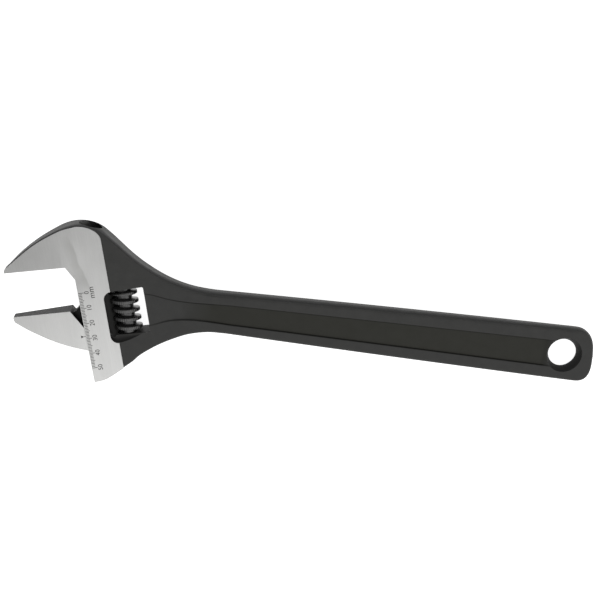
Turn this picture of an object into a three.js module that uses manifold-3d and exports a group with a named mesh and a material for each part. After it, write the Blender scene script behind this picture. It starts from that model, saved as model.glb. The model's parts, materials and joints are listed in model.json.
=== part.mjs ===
// Adjustable wrench, 380 mm long, wide-opening head, built as its five real pieces.
//
// Millimetres, +Z up. The wrench lies flat: +X runs along the handle from the jaws to the hanging hole,
// +Y points to the fixed jaw's side, Z is the thickness. The origin is under the middle of its box.
//
// The head has a frame of its own, turned by HEAD_ANGLE: its x axis is parallel to the jaw faces and
// points to the handle, its y axis is the way the jaw closes, and its origin is the throat, where the
// plane of the fixed jaw's face meets the cheek.

import * as THREE from 'three';
import { mergeVertices } from 'three/addons/utils/BufferGeometryUtils.js';
import Module from 'manifold-3d';

const wasm = await Module();
wasm.setup();

// ---- driving dimensions ----------------------------------------------------------------------------

// Overall
const HEAD_ANGLE = THREE.MathUtils.degToRad(15);
const THROAT_TO_END = 339; // along the handle
const THROAT_RISE = 20.25; // throat above the handle's centre line
const OPENING = 29; // opening as the part is posed at rest, of the 52 that it can reach

// Head forging and its ground faces
const HEAD_T = 18; // over the ground faces
const LAND_RISE = 0.4; // ground face above the black forging
const CHEEK_W = 19.8; // width of the ground band beside the slot
const CHEEK_BOTTOM = 77.1; // from the throat down to the foot of the cheek
const HEAD_TOP = 25.5; // from the fixed jaw's face up to the crown
const JAW_LENGTH = 43; // throat to tip
const JAW_TIP_T = 8;
const THROAT_SLOPE = THREE.MathUtils.degToRad(60); // relief beside both jaw faces, the angle of a hexagon
const FIXED_FLAT_END = 4.9; // where the fixed jaw's face ends, before the throat

// Movable jaw
const MOVABLE_FLAT_END = 7; // where its face ends, before the throat
const MOVABLE_DEPTH = 27; // face to back, at the cheek
const MOVABLE_ROOT_T = 15;
const WEB_T = 6.4;
const WEB_RISE = 1.6; // the web's top above the jaw face
const RAIL_D = 13;
const RAIL_X = 14; // rail axis, from the cheek's edge
const RAIL_ABOVE = 18.5; // rail end above the movable jaw's face
const RAIL_BELOW = 36; // rail end below the movable jaw's face

// Worm, its pin and spring
const WORM_Y = -34.5; // middle of the threads
const WORM_D = 17.6;
const WORM_ROOT_D = 10.6;
const WORM_LEAD = 5.7;
const WORM_THREAD_LENGTH = 27.2;
const PIN_D = 5;
const PIN_THREAD_D = 6;
const PIN_THREAD_LENGTH = 10;
const PIN_SLOT_W = 1.1;
const PIN_SLOT_DEPTH = 1.6;
const PIN_SEAT = 9; // blind end above the window
const PIN_INSET = 3; // outer end below the forging's skin
const SPRING_WIRE = 0.8;
const SPRING_MEAN_D = 6.7;
const SPRING_LENGTH = 13;
const SPRING_TURNS = 6;

// Window for the worm
const WINDOW_ABOVE = 2; // beyond the threads, filled by the worm's hub
const WINDOW_BELOW = 0.8;
const WINDOW_INTO_RAIL = 1.1; // left side, past the rail's axis
const WINDOW_BESIDE = 4.7; // right side, clear of the worm
const WINDOW_LEFT_R = 5;
const WINDOW_RIGHT_R = 1;
const SCOOP_RUN = 4.1; // thumb scoop below the window, measured on the ground face
const SCOOP_INSET = 1.9; // its right side, from the window's
const SCOOP_R = 10;
const SCOOP_DEPTH = 4.1; // at the window's edge

// Handle
const NECK_X = 98.6; // narrowest place, from the throat
const NECK_HALF_W = 13.5;
const END_HALF_W = 18.2;
const HANDLE_BOW = 0.35; // how much the sides bulge between neck and end, as a share of the flare
const NECK_T = 12;
const END_T = 10.6;
const HANDLE_EDGE_W = 2.4; // plan width of the rounded edges
const EDGE_STRETCH = 2; // how many times deeper than wide a rounded edge is, where there is room
const PARTING_FLAT = 0.6; // straight band left at the parting line
const END_LENGTH = 13; // length of the rounded end
const END_POWER = 2.8; // superellipse exponent of the end's outline
const END_SLANT = 0.13; // how far the end leans, so that its lower corner reaches further than its upper one
const END_SLANT_RUN = 30; // length in which the lean sets in
const HOLE_D = 18.5; // at its waist, midway through
const HOLE_FLARE = 2.6; // how much larger its radius is at the faces
const HOLE_FROM_END = 20.4;
const PANEL_DEPTH = 1.2;
const PANEL_WALL = 1.1; // plan width of the panel's sloping wall
const PANEL_NECK_HALF_W = 6.9;
const PANEL_END_HALF_W = 9.6;
const PANEL_FADE = 16; // length in which the panel runs out, up to the middle of the hole

// Clearances
const RAIL_CLEARANCE = 0.2;
const SLOT_CLEARANCE = 0.2;
const TOOTH_CLEARANCE = 0.3;
const WORM_END_CLEARANCE = 0.3;
const WORM_BORE_CLEARANCE = 0.3;
const PIN_FIT = 0.1;
const SPRING_CLEARANCE = 0.35;
const CHEEK_GAP = 0.3;
const ROOT_GAP = 0.6; // between the rail and the thread's root
const SLOT_END_GAP = 0.6; // between the movable jaw's throat and the end of the slot
const SLOT_TOP_GAP = 1.6;

// ---- derived values --------------------------------------------------------------------------------

const FORGING_T = HEAD_T - 2 * LAND_RISE;
const BORE_D = RAIL_D + 2 * RAIL_CLEARANCE;
const SLOT_T = WEB_T + 2 * SLOT_CLEARANCE;
const SLOT_LEFT = -MOVABLE_FLAT_END - SLOT_END_GAP;
const SLOT_TOP = WEB_RISE + SLOT_TOP_GAP;
const WORM_X = RAIL_X + (RAIL_D + WORM_ROOT_D) / 2 + ROOT_GAP;
const WINDOW_LEFT = RAIL_X + WINDOW_INTO_RAIL;
const WINDOW_RIGHT = WORM_X + WORM_D / 2 + WINDOW_BESIDE;
const WINDOW_TOP = WORM_Y + WORM_THREAD_LENGTH / 2 + WINDOW_ABOVE;
const WINDOW_BOTTOM = WORM_Y - WORM_THREAD_LENGTH / 2 - WINDOW_BELOW;
const SCOOP_BOTTOM = WINDOW_BOTTOM - SCOOP_RUN;
const SCOOP_RIGHT = WINDOW_RIGHT - SCOOP_INSET;
const HUB_D = WORM_ROOT_D - 0.3;
const WORM_BORE_D = PIN_D + 2 * WORM_BORE_CLEARANCE;
const SPRING_POCKET_D = SPRING_MEAN_D + SPRING_WIRE + 2 * SPRING_CLEARANCE;
const THROAT = new THREE.Vector2(-THROAT_TO_END, THROAT_RISE); // from the handle's end, on its centre line

// ---- solids ----------------------------------------------------------------------------------------

// A three.js geometry as a manifold solid.
function solid(geometry) {
  const bare = geometry.index ? geometry.clone() : geometry;
  bare.deleteAttribute('normal');
  bare.deleteAttribute('uv');
  const merged = mergeVertices(bare, 1e-5);
  const mesh = new wasm.Mesh({
    numProp: 3,
    vertProperties: new Float32Array(merged.attributes.position.array),
    triVerts: new Uint32Array(merged.index.array),
  });
  return new wasm.Manifold(mesh);
}

// A manifold solid as a three.js geometry.
function geometryOf(manifold) {
  const mesh = manifold.getMesh();
  const geometry = new THREE.BufferGeometry();
  geometry.setAttribute('position', new THREE.BufferAttribute(new Float32Array(mesh.vertProperties), 3));
  geometry.setIndex(new THREE.BufferAttribute(new Uint32Array(mesh.triVerts), 1));
  geometry.computeVertexNormals();
  return geometry;
}

// A closed skin through equal rings of points. The rings run anticlockwise seen from the last one.
function loft(rings) {
  const count = rings[0].length;
  const positions = rings.flat().flatMap((point) => point.toArray());
  const index = [];
  for (let ring = 0; ring + 1 < rings.length; ring += 1) {
    for (let k = 0; k < count; k += 1) {
      const a = ring * count + k;
      const b = ring * count + ((k + 1) % count);
      index.push(a, b, b + count, a, b + count, a + count);
    }
  }
  const lastRing = (rings.length - 1) * count;
  for (const [a, b, c] of ringTriangles(rings[0])) index.push(c, b, a);
  for (const [a, b, c] of ringTriangles(rings.at(-1))) index.push(lastRing + a, lastRing + b, lastRing + c);
  const geometry = new THREE.BufferGeometry();
  geometry.setAttribute('position', new THREE.Float32BufferAttribute(positions, 3));
  geometry.setIndex(index);
  return geometry;
}

// Triangles that fill a flat ring, wound as the ring is.
function ringTriangles(ring) {
  const normal = new THREE.Vector3();
  ring.forEach((point, k) => {
    normal.add(new THREE.Vector3().crossVectors(point, ring[(k + 1) % ring.length]));
  });
  const toPlane = new THREE.Quaternion().setFromUnitVectors(normal.normalize(), new THREE.Vector3(0, 0, 1));
  const flat = ring.map((point) => {
    const turned = point.clone().applyQuaternion(toPlane);
    return new THREE.Vector2(turned.x, turned.y);
  });
  return THREE.ShapeUtils.triangulateShape(flat, []);
}

// A plate of the given outline, centred on z = 0.
function plate(shape, thickness, curveSegments = 12) {
  const geometry = new THREE.ExtrudeGeometry(shape, { depth: thickness, bevelEnabled: false, curveSegments });
  geometry.translate(0, 0, -thickness / 2);
  return solid(geometry);
}

// A round bar along the head's y axis.
function bar(diameter, x, yLow, yHigh, segments = 32) {
  const geometry = new THREE.CylinderGeometry(diameter / 2, diameter / 2, yHigh - yLow, segments);
  geometry.translate(x, (yLow + yHigh) / 2, 0);
  return solid(geometry);
}

function box(xLow, xHigh, yLow, yHigh, zLow, zHigh) {
  const geometry = new THREE.BoxGeometry(xHigh - xLow, yHigh - yLow, zHigh - zLow);
  geometry.translate((xLow + xHigh) / 2, (yLow + yHigh) / 2, (zLow + zHigh) / 2);
  return solid(geometry);
}

function namedMesh(name, geometry, color, metalness, roughness) {
  const material = new THREE.MeshStandardMaterial({ color, metalness, roughness });
  const mesh = new THREE.Mesh(geometry, material);
  mesh.name = name;
  return mesh;
}

// ---- outlines, in the head's frame -------------------------------------------------------------------

// The crown of the head, from above the fixed jaw's tip to above the window.
const CROWN = [
  [-JAW_LENGTH + 0.5, 2.3],
  [-39, 4.9],
  [-32.2, 10.1],
  [-25, 14.7],
  [-18, 18.4],
  [-10, 21.8],
  [-2, HEAD_TOP - 1],
  [5.5, HEAD_TOP],
  [12.7, HEAD_TOP - 1.1],
  [19.5, HEAD_TOP - 4.5],
];

// The foot of the head, from the cheek's corner to below the worm.
const FOOT = [
  [0, -CHEEK_BOTTOM],
  [6.7, -CHEEK_BOTTOM + 0.6],
  [13.3, -CHEEK_BOTTOM + 3.1],
  [19.5, -CHEEK_BOTTOM + 5.9],
];

const points = (pairs) => pairs.map(([x, y]) => new THREE.Vector2(x, y));

// Fixed jaw: crown above, jaw face below, and a buried stretch behind the throat.
function fixedJawShape() {
  const buried = 5.5;
  const throatDrop = FIXED_FLAT_END * Math.tan(THROAT_SLOPE);
  const shape = new THREE.Shape();
  shape.moveTo(-JAW_LENGTH, 0);
  shape.lineTo(-FIXED_FLAT_END, 0);
  shape.lineTo(0, -throatDrop);
  shape.lineTo(buried, -throatDrop);
  shape.lineTo(buried, HEAD_TOP);
  shape.lineTo(...CROWN[7]);
  shape.splineThru(points(CROWN.slice(0, 7).reverse()));
  shape.lineTo(-JAW_LENGTH, 0);
  return shape;
}

// Ground face: follows the jaw face, throat and cheek, and stays a little inside the crown.
function landShape() {
  const inset = 0.8;
  const throatDrop = FIXED_FLAT_END * Math.tan(THROAT_SLOPE);
  const shape = new THREE.Shape();
  shape.moveTo(-JAW_LENGTH, 0);
  shape.lineTo(-FIXED_FLAT_END, 0);
  shape.lineTo(0, -throatDrop);
  shape.lineTo(0, -CHEEK_BOTTOM);
  shape.splineThru([
    new THREE.Vector2(6.7, -CHEEK_BOTTOM + 0.6),
    new THREE.Vector2(13.3, -CHEEK_BOTTOM + 3.1),
    new THREE.Vector2(CHEEK_W, -CHEEK_BOTTOM + 6.1),
  ]);
  shape.lineTo(CHEEK_W, HEAD_TOP - 11);
  shape.bezierCurveTo(CHEEK_W, HEAD_TOP - 5, 12.5, HEAD_TOP - 1.2, 5.9, HEAD_TOP - inset);
  shape.splineThru([
    new THREE.Vector2(-2, HEAD_TOP - 1 - inset),
    new THREE.Vector2(-10, 21.8 - inset),
    new THREE.Vector2(-18, 18.4 - inset),
    new THREE.Vector2(-25, 14.7 - inset),
    new THREE.Vector2(-32.2, 10.1 - inset / 2),
    new THREE.Vector2(-JAW_LENGTH + 0.5, 2.3),
  ]);
  return shape;
}

// The window for the worm, round on the cheek's side and nearly square on the handle's.
function windowShape() {
  const quarter = Math.PI / 2;
  const leftX = WINDOW_LEFT + WINDOW_LEFT_R;
  const rightX = WINDOW_RIGHT - WINDOW_RIGHT_R;
  const shape = new THREE.Shape();
  shape.absarc(rightX, WINDOW_BOTTOM + WINDOW_RIGHT_R, WINDOW_RIGHT_R, -quarter, 0);
  shape.absarc(rightX, WINDOW_TOP - WINDOW_RIGHT_R, WINDOW_RIGHT_R, 0, quarter);
  shape.absarc(leftX, WINDOW_TOP - WINDOW_LEFT_R, WINDOW_LEFT_R, quarter, 2 * quarter);
  shape.absarc(leftX, WINDOW_BOTTOM + WINDOW_LEFT_R, WINDOW_LEFT_R, 2 * quarter, 3 * quarter);
  return shape;
}

// Movable jaw's blade, with its face on y = 0.
function movableBladeShape() {
  const throatDrop = (MOVABLE_FLAT_END - CHEEK_GAP) * Math.tan(THROAT_SLOPE);
  const shape = new THREE.Shape();
  shape.moveTo(-CHEEK_GAP, -throatDrop);
  shape.lineTo(-MOVABLE_FLAT_END, 0);
  shape.lineTo(-JAW_LENGTH, 0);
  shape.lineTo(-JAW_LENGTH, -1.2);
  shape.quadraticCurveTo(-JAW_LENGTH + 0.1, -2.8, -41.6, -4.2);
  shape.splineThru([
    new THREE.Vector2(-36.8, -8.1),
    new THREE.Vector2(-31.6, -11.8),
    new THREE.Vector2(-22, -17.8),
    new THREE.Vector2(-12, -22.7),
    new THREE.Vector2(-CHEEK_GAP, -MOVABLE_DEPTH),
  ]);
  shape.lineTo(-CHEEK_GAP, -throatDrop);
  return shape;
}

// Web from the blade to the rail, with the small notch at the root of the jaw face.
function webShape() {
  const buried = 3;
  const shape = new THREE.Shape();
  shape.moveTo(-MOVABLE_FLAT_END - buried, -1.5);
  shape.lineTo(-MOVABLE_FLAT_END - buried, -MOVABLE_DEPTH + 7);
  shape.lineTo(-CHEEK_GAP - buried, -MOVABLE_DEPTH + 2.5);
  shape.lineTo(-CHEEK_GAP, -MOVABLE_DEPTH);
  shape.lineTo(RAIL_X, -MOVABLE_DEPTH - 3.5);
  shape.lineTo(RAIL_X, WEB_RISE);
  shape.lineTo(-1, WEB_RISE);
  shape.lineTo(-3.9, -1.2);
  shape.lineTo(-MOVABLE_FLAT_END, -1.5);
  return shape;
}

// A prism over everything outside a jaw that thins from its root to its tip, on the front or the back.
function taperCut(rootX, rootT, tipT, side) {
  const clear = 30;
  const slope = (rootT - tipT) / 2 / (rootX + JAW_LENGTH);
  const heightAt = (x) => rootT / 2 - slope * (rootX - x);
  const shape = new THREE.Shape();
  shape.moveTo(rootX, heightAt(rootX));
  shape.lineTo(rootX, clear);
  shape.lineTo(-JAW_LENGTH - clear, clear);
  shape.lineTo(-JAW_LENGTH - clear, heightAt(-JAW_LENGTH - clear));
  const geometry = new THREE.ExtrudeGeometry(shape, { depth: 4 * clear, bevelEnabled: false });
  geometry.translate(0, 0, -2 * clear);
  geometry.rotateX(side * Math.PI / 2);
  return solid(geometry);
}

// ---- handle, in the part's frame with its origin at the handle's end ----------------------------------

function fromHead(x, y) {
  return new THREE.Vector2(x, y).rotateAround(new THREE.Vector2(), HEAD_ANGLE).add(THROAT);
}

// One place along the forging: its two outlines, thickness, edge width and recessed panel.
function station(top, bottom, thickness, edgeWidth, rimTop, rimBottom, panelDepth) {
  return { top, bottom, thickness, edgeWidth, rimTop, rimBottom, panelDepth };
}

// How the forging sweeps from the head into the neck. Along and drop are shares of the way from the last
// point of the crown (top) or the foot (bottom) to the neck, and thick is a share of the head's extra
// thickness. The rims are how much wider the borders beside the panel are than at the neck.
const SWEEP = [
  { top: [0.081, 0.86], bottom: [0.079, 0.838], thick: 0.865, edge: 2, rims: [22.1, 18.1], panel: 0 },
  { top: [0.252, 0.521], bottom: [0.153, 0.673], thick: 0.596, edge: 2, rims: [15.1, 12.1], panel: 0.2 },
  { top: [0.39, 0.304], bottom: [0.29, 0.456], thick: 0.346, edge: 2, rims: [8.7, 8.5], panel: 0.5 },
  { top: [0.539, 0.135], bottom: [0.44, 0.275], thick: 0.154, edge: 2.2, rims: [5, 6.7], panel: 0.8 },
  { top: [0.69, 0.034], bottom: [0.617, 0.11], thick: 0.04, edge: HANDLE_EDGE_W, rims: [2.3, 3.5], panel: 1 },
  { top: [0.842, -0.003], bottom: [0.812, 0.016], thick: 0, edge: HANDLE_EDGE_W, rims: [0.6, 0.9], panel: 1 },
  { top: [1, 0], bottom: [1, 0], thick: 0, edge: HANDLE_EDGE_W, rims: [0, 0], panel: 1 },
];

// Stations from the cheek's edge to the neck: the head's outline, then the sweep.
function headStations() {
  const neckX = THROAT.x + NECK_X;
  const neckRim = NECK_HALF_W - PANEL_NECK_HALF_W;
  const headRim = neckRim + 24;
  const headEdges = [0.4, 0.8, 1.6, 2];
  const crown = [[0, HEAD_TOP - 0.6], ...CROWN.slice(7)].map(([x, y]) => fromHead(x, y));
  const foot = FOOT.map(([x, y]) => fromHead(x, y));
  const head = headEdges.map((edge, k) => station(crown[k], foot[k], FORGING_T, edge, headRim, headRim, 0));
  const between = (from, toY, [along, drop]) => new THREE.Vector2(
    THREE.MathUtils.lerp(from.x, neckX, along),
    THREE.MathUtils.lerp(toY, from.y, drop),
  );
  const sweep = SWEEP.map((place) => station(
    between(crown[3], NECK_HALF_W, place.top),
    between(foot[3], -NECK_HALF_W, place.bottom),
    THREE.MathUtils.lerp(NECK_T, FORGING_T, place.thick),
    place.edge,
    neckRim + place.rims[0],
    neckRim + place.rims[1],
    place.panel * PANEL_DEPTH,
  ));
  return [...head, ...sweep];
}

// Smooth stations between the hand-chosen ones.
function smoothStations(stations, perSpan) {
  const curve = (pick) => new THREE.CatmullRomCurve3(stations.map(pick), false, 'catmullrom', 0.5);
  const tops = curve((s) => new THREE.Vector3(s.top.x, s.top.y, s.thickness));
  const bottoms = curve((s) => new THREE.Vector3(s.bottom.x, s.bottom.y, s.edgeWidth));
  const rims = curve((s) => new THREE.Vector3(s.rimTop, s.rimBottom, s.panelDepth));
  const steps = (stations.length - 1) * perSpan;
  return Array.from({ length: steps }, (_, k) => {
    const [top, bottom, rim] = [tops, bottoms, rims].map((c) => c.getPoint(k / steps));
    const panelDepth = Math.max(rim.z, 0);
    return station(top, bottom, top.z, bottom.z, rim.x, rim.y, panelDepth);
  });
}

// Stations from the neck to the rounded end.
function handleStations() {
  const neckX = THROAT.x + NECK_X;
  const lastX = -0.02;
  const straight = 6;
  const rounded = 9;
  const xs = [];
  for (let k = 0; k <= straight; k += 1) xs.push(neckX + ((-END_LENGTH - neckX) * k) / straight);
  for (let k = 1; k <= rounded; k += 1) {
    xs.push(-END_LENGTH + (END_LENGTH + lastX) * Math.sin((Math.PI / 2) * (k / rounded)) ** (2 / END_POWER));
  }
  const panelEnd = -HOLE_FROM_END;
  return xs.map((x) => {
    const t = Math.min((x - neckX) / (-END_LENGTH - neckX), 1);
    const flare = END_HALF_W - NECK_HALF_W;
    const side = NECK_HALF_W + flare * (t + HANDLE_BOW * t * (1 - t));
    const along = Math.max(x + END_LENGTH, 0) / END_LENGTH;
    const half = side * (1 - along ** END_POWER) ** (1 / END_POWER);
    const inset = Math.max(HANDLE_EDGE_W + x, 0) / HANDLE_EDGE_W;
    const full = THREE.MathUtils.lerp(NECK_T, END_T, t);
    const depth = edgeDepth(HANDLE_EDGE_W, full);
    const lean = END_SLANT * half * THREE.MathUtils.smoothstep(x, -END_SLANT_RUN, -END_LENGTH / 2);
    const left = Math.sqrt(1 - inset ** 2);
    const thickness = full - 2 * depth * (1 - left);
    const edge = Math.min(HANDLE_EDGE_W * left, half * 0.45);
    const panelHalf = THREE.MathUtils.lerp(PANEL_NECK_HALF_W, PANEL_END_HALF_W, t);
    const rim = Math.max(half - panelHalf, edge + 0.2);
    const fade = 1 - THREE.MathUtils.smoothstep(x, panelEnd - PANEL_FADE, panelEnd);
    return station(
      new THREE.Vector2(x - lean, half), new THREE.Vector2(x + lean, -half),
      thickness, edge, rim, rim, PANEL_DEPTH * fade,
    );
  });
}

// How deep a rounded edge reaches below the face.
function edgeDepth(edgeWidth, thickness) {
  return Math.min(edgeWidth * EDGE_STRETCH, (thickness - PARTING_FLAT) / 2);
}

// The ring of points round the forging at one station: round edges and the panel's trapezoid.
function forgingRing({ top, bottom, thickness, edgeWidth, rimTop, rimBottom, panelDepth }) {
  const width = Math.hypot(top.x - bottom.x, top.y - bottom.y);
  const h = thickness / 2;
  const panelLow = Math.min(rimBottom, 0.38 * width);
  const panelHigh = width - Math.min(rimTop, 0.38 * width);
  const wall = Math.min(PANEL_WALL, (panelHigh - panelLow) / 4);
  const deep = edgeDepth(edgeWidth, thickness);
  const arc = 4;
  const front = [];
  for (let k = 0; k <= arc; k += 1) {
    const angle = (Math.PI / 2) * (k / arc);
    front.push([edgeWidth * (1 - Math.cos(angle)), h - deep * (1 - Math.sin(angle))]);
  }
  front.push([panelLow, h], [panelLow + wall, h - panelDepth]);
  front.push([panelHigh - wall, h - panelDepth], [panelHigh, h]);
  for (let k = 0; k <= arc; k += 1) {
    const angle = (Math.PI / 2) * (1 - k / arc);
    front.push([width - edgeWidth * (1 - Math.cos(angle)), h - deep * (1 - Math.sin(angle))]);
  }
  const back = front.map(([s, z]) => [s, -z]).reverse();
  const along = new THREE.Vector2(top.x - bottom.x, top.y - bottom.y).divideScalar(width);
  return [...front, ...back].reverse().map(([s, z]) => (
    new THREE.Vector3(bottom.x + along.x * s, bottom.y + along.y * s, z)
  ));
}

// ---- worm thread -------------------------------------------------------------------------------------

// Radius of the thread at a share of the lead: flat-topped crests with rounded flanks.
function threadRadius(share, grow, widen) {
  const wave = (offset) => {
    const swing = 0.5 + 0.75 * Math.cos(2 * Math.PI * (share + offset / WORM_LEAD));
    return THREE.MathUtils.smootherstep(swing, 0, 1);
  };
  const height = Math.max(wave(-widen), wave(0), wave(widen));
  const root = WORM_ROOT_D / 2;
  return root + (WORM_D / 2 - root) * height + grow;
}

// A left-hand threaded bar between two heights, its phase tied to the worm's middle.
function threadRings(yLow, yHigh, grow, widen) {
  const around = 28;
  const perTurn = 10;
  const rise = WORM_LEAD / perTurn;
  const heights = [yLow];
  const first = Math.ceil((yLow - WORM_Y) / rise + 0.2);
  for (let k = first; WORM_Y + k * rise < yHigh - 0.2 * rise; k += 1) heights.push(WORM_Y + k * rise);
  heights.push(yHigh);
  return heights.map((y) => Array.from({ length: around }, (_, k) => {
    const turn = k / around;
    const radius = threadRadius((y - WORM_Y) / WORM_LEAD - turn, grow, widen);
    const angle = 2 * Math.PI * turn;
    return new THREE.Vector3(WORM_X + radius * Math.cos(angle), y, radius * Math.sin(angle));
  }).reverse());
}

// ---- cuts ------------------------------------------------------------------------------------------

// The hanging hole, narrowest midway and flared to both faces, along Y.
function holeGeometry() {
  const half = END_T / 2;
  const beyond = 1.3;
  const flare = [-beyond, -1, -0.7, -0.4, 0, 0.4, 0.7, 1, beyond];
  const wall = flare.map((z) => [HOLE_D / 2 + HOLE_FLARE * Math.abs(z) ** 1.3, z * half]);
  return new THREE.LatheGeometry(points([[0, -beyond * half], ...wall, [0, beyond * half]]), 48);
}

// The scoop for the thumb below the window: a cylinder along the head's x, cut off round in plan.
function scoopCut(side) {
  const outline = new THREE.Shape();
  const quarter = Math.PI / 2;
  const r = WINDOW_LEFT_R;
  outline.moveTo(WINDOW_LEFT, WORM_Y);
  outline.absarc(WINDOW_LEFT + r, SCOOP_BOTTOM + r, r, 2 * quarter, 3 * quarter);
  outline.absarc(SCOOP_RIGHT - r, SCOOP_BOTTOM + r, r, 3 * quarter, 4 * quarter);
  outline.lineTo(SCOOP_RIGHT, WORM_Y);
  const face = HEAD_T / 2;
  const run = WINDOW_BOTTOM - SCOOP_BOTTOM;
  const chord = Math.hypot(run, SCOOP_DEPTH);
  const lean = Math.sqrt(SCOOP_R ** 2 - (chord / 2) ** 2) / chord;
  const y = (WINDOW_BOTTOM + SCOOP_BOTTOM) / 2 + lean * SCOOP_DEPTH;
  const z = face - SCOOP_DEPTH / 2 + lean * run;
  const roller = new THREE.CylinderGeometry(SCOOP_R, SCOOP_R, 80, 48).rotateZ(quarter);
  roller.translate(WORM_X, y, side * z);
  return plate(outline, 4 * HEAD_T, 4).intersect(solid(roller));
}

// ---- the five pieces, each in the head's frame -----------------------------------------------------------

function makeBody() {
  const rings = [...smoothStations(headStations(), 3), ...handleStations()].map(forgingRing);
  const endHole = holeGeometry().rotateX(Math.PI / 2).translate(-HOLE_FROM_END, 0, 0);
  const toHead = (geometry) => geometry.translate(-THROAT.x, -THROAT.y, 0).rotateZ(-HEAD_ANGLE);
  const handle = solid(toHead(loft(rings))).subtract(solid(toHead(endHole)));

  const jaw = plate(fixedJawShape(), FORGING_T);
  const land = plate(landShape(), HEAD_T);
  const taper = [1, -1].map((side) => taperCut(0, HEAD_T, JAW_TIP_T, side));
  let body = handle.add(jaw.add(land).subtract(taper[0]).subtract(taper[1]));

  const reach = 2 * CHEEK_BOTTOM;
  body = body.subtract(bar(BORE_D, RAIL_X, -reach, reach, 48));
  body = body.subtract(box(SLOT_LEFT, RAIL_X, -reach, SLOT_TOP, -SLOT_T / 2, SLOT_T / 2));
  body = body.subtract(plate(windowShape(), 2 * HEAD_T, 4));
  for (const side of [1, -1]) body = body.subtract(scoopCut(side));
  body = body.subtract(bar(PIN_D + 2 * PIN_FIT, WORM_X, -reach, WINDOW_TOP + PIN_SEAT, 24));
  body = body.subtract(bar(PIN_THREAD_D + 2 * PIN_FIT, WORM_X, -reach, pinThreadTop() + PIN_FIT, 24));
  return body;
}

function makeMovableJaw() {
  const blade = plate(movableBladeShape(), MOVABLE_ROOT_T)
    .subtract(taperCut(-CHEEK_GAP, MOVABLE_ROOT_T, JAW_TIP_T, 1))
    .subtract(taperCut(-CHEEK_GAP, MOVABLE_ROOT_T, JAW_TIP_T, -1));
  const rail = bar(RAIL_D, RAIL_X, -RAIL_BELOW, RAIL_ABOVE, 48);
  const jaw = blade.add(plate(webShape(), WEB_T)).add(rail).translate([0, -OPENING, 0]);
  const over = 4;
  const low = -OPENING - RAIL_BELOW - over;
  const high = -OPENING + RAIL_ABOVE + over;
  return jaw.subtract(solid(loft(threadRings(low, high, TOOTH_CLEARANCE, TOOTH_CLEARANCE))));
}

function makeWorm() {
  const threadLow = WORM_Y - WORM_THREAD_LENGTH / 2;
  const threadHigh = WORM_Y + WORM_THREAD_LENGTH / 2;
  const low = WINDOW_BOTTOM + WORM_END_CLEARANCE;
  const high = WINDOW_TOP - WORM_END_CLEARANCE;
  const springTop = WINDOW_BOTTOM + SPRING_LENGTH + 2 * WORM_END_CLEARANCE;
  return solid(loft(threadRings(threadLow, threadHigh, 0, 0)))
    .add(bar(HUB_D, WORM_X, low, high, 36))
    .subtract(bar(WORM_BORE_D, WORM_X, low - 1, high + 1, 24))
    .subtract(bar(SPRING_POCKET_D, WORM_X, low - 1, springTop, 24));
}

// Outer end of the pin, a little inside the forging's foot below the worm.
function pinLow() {
  const footAtWorm = -CHEEK_BOTTOM + 9.4;
  return footAtWorm + PIN_INSET;
}

function pinThreadTop() {
  return pinLow() + PIN_THREAD_LENGTH;
}

function makePin() {
  const low = pinLow();
  const slot = box(
    WORM_X - PIN_THREAD_D, WORM_X + PIN_THREAD_D,
    low - 1, low + PIN_SLOT_DEPTH,
    -PIN_SLOT_W / 2, PIN_SLOT_W / 2,
  );
  return bar(PIN_D, WORM_X, low, WINDOW_TOP + PIN_SEAT - PIN_FIT, 24)
    .add(bar(PIN_THREAD_D, WORM_X, low, pinThreadTop(), 24))
    .subtract(slot);
}

function makeSpring() {
  const radius = SPRING_MEAN_D / 2;
  const low = WINDOW_BOTTOM + SPRING_WIRE / 2 + WORM_END_CLEARANCE / 2;
  const rise = SPRING_LENGTH - SPRING_WIRE;
  class Coil extends THREE.Curve {
    getPoint(t, target = new THREE.Vector3()) {
      const angle = 2 * Math.PI * SPRING_TURNS * t;
      return target.set(WORM_X + radius * Math.cos(angle), low + rise * t, radius * Math.sin(angle));
    }
  }
  const wire = new THREE.Shape().absarc(0, 0, SPRING_WIRE / 2, 0, 2 * Math.PI);
  const coil = new THREE.ExtrudeGeometry(wire, {
    steps: SPRING_TURNS * 14, curveSegments: 3, extrudePath: new Coil(), bevelEnabled: false,
  });
  return solid(coil);
}

// ---- assembly ----------------------------------------------------------------------------------------

const head = new THREE.Group();
head.position.set(THROAT.x, THROAT.y, 0);
head.rotation.z = HEAD_ANGLE;
head.add(
  namedMesh('body', geometryOf(makeBody()), 0x3c3c3a, 0.4, 0.6),
  namedMesh('movable_jaw', geometryOf(makeMovableJaw()), 0xbcbcbc, 0.9, 0.35),
  namedMesh('worm', geometryOf(makeWorm()), 0x2a2a2a, 0.5, 0.4),
  namedMesh('worm_pin', geometryOf(makePin()), 0x8a8a8a, 0.9, 0.3),
  namedMesh('worm_spring', geometryOf(makeSpring()), 0x9a9a9a, 0.9, 0.3),
);

const wrench = new THREE.Group();
wrench.add(head);
wrench.updateMatrixWorld(true);
const bounds = new THREE.Box3().setFromObject(wrench, true);
const middle = bounds.getCenter(new THREE.Vector3());
wrench.position.set(-middle.x, -middle.y, -bounds.min.z);
wrench.updateMatrixWorld(true);

export default wrench;
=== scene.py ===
"""Looks of the adjustable wrench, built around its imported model.

Shapes are made in millimetres in two frames that share the wrench's mid-plane, z = 0. The handle's frame
starts at the end of the handle, with x along its centre line. The head's frame is turned by the head's
angle and starts at the throat, with x parallel to the jaw faces and y the way the jaw closes.
"""

import json
import math

import bmesh
import bpy
import numpy as np
from mathutils import Matrix, Vector


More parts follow.
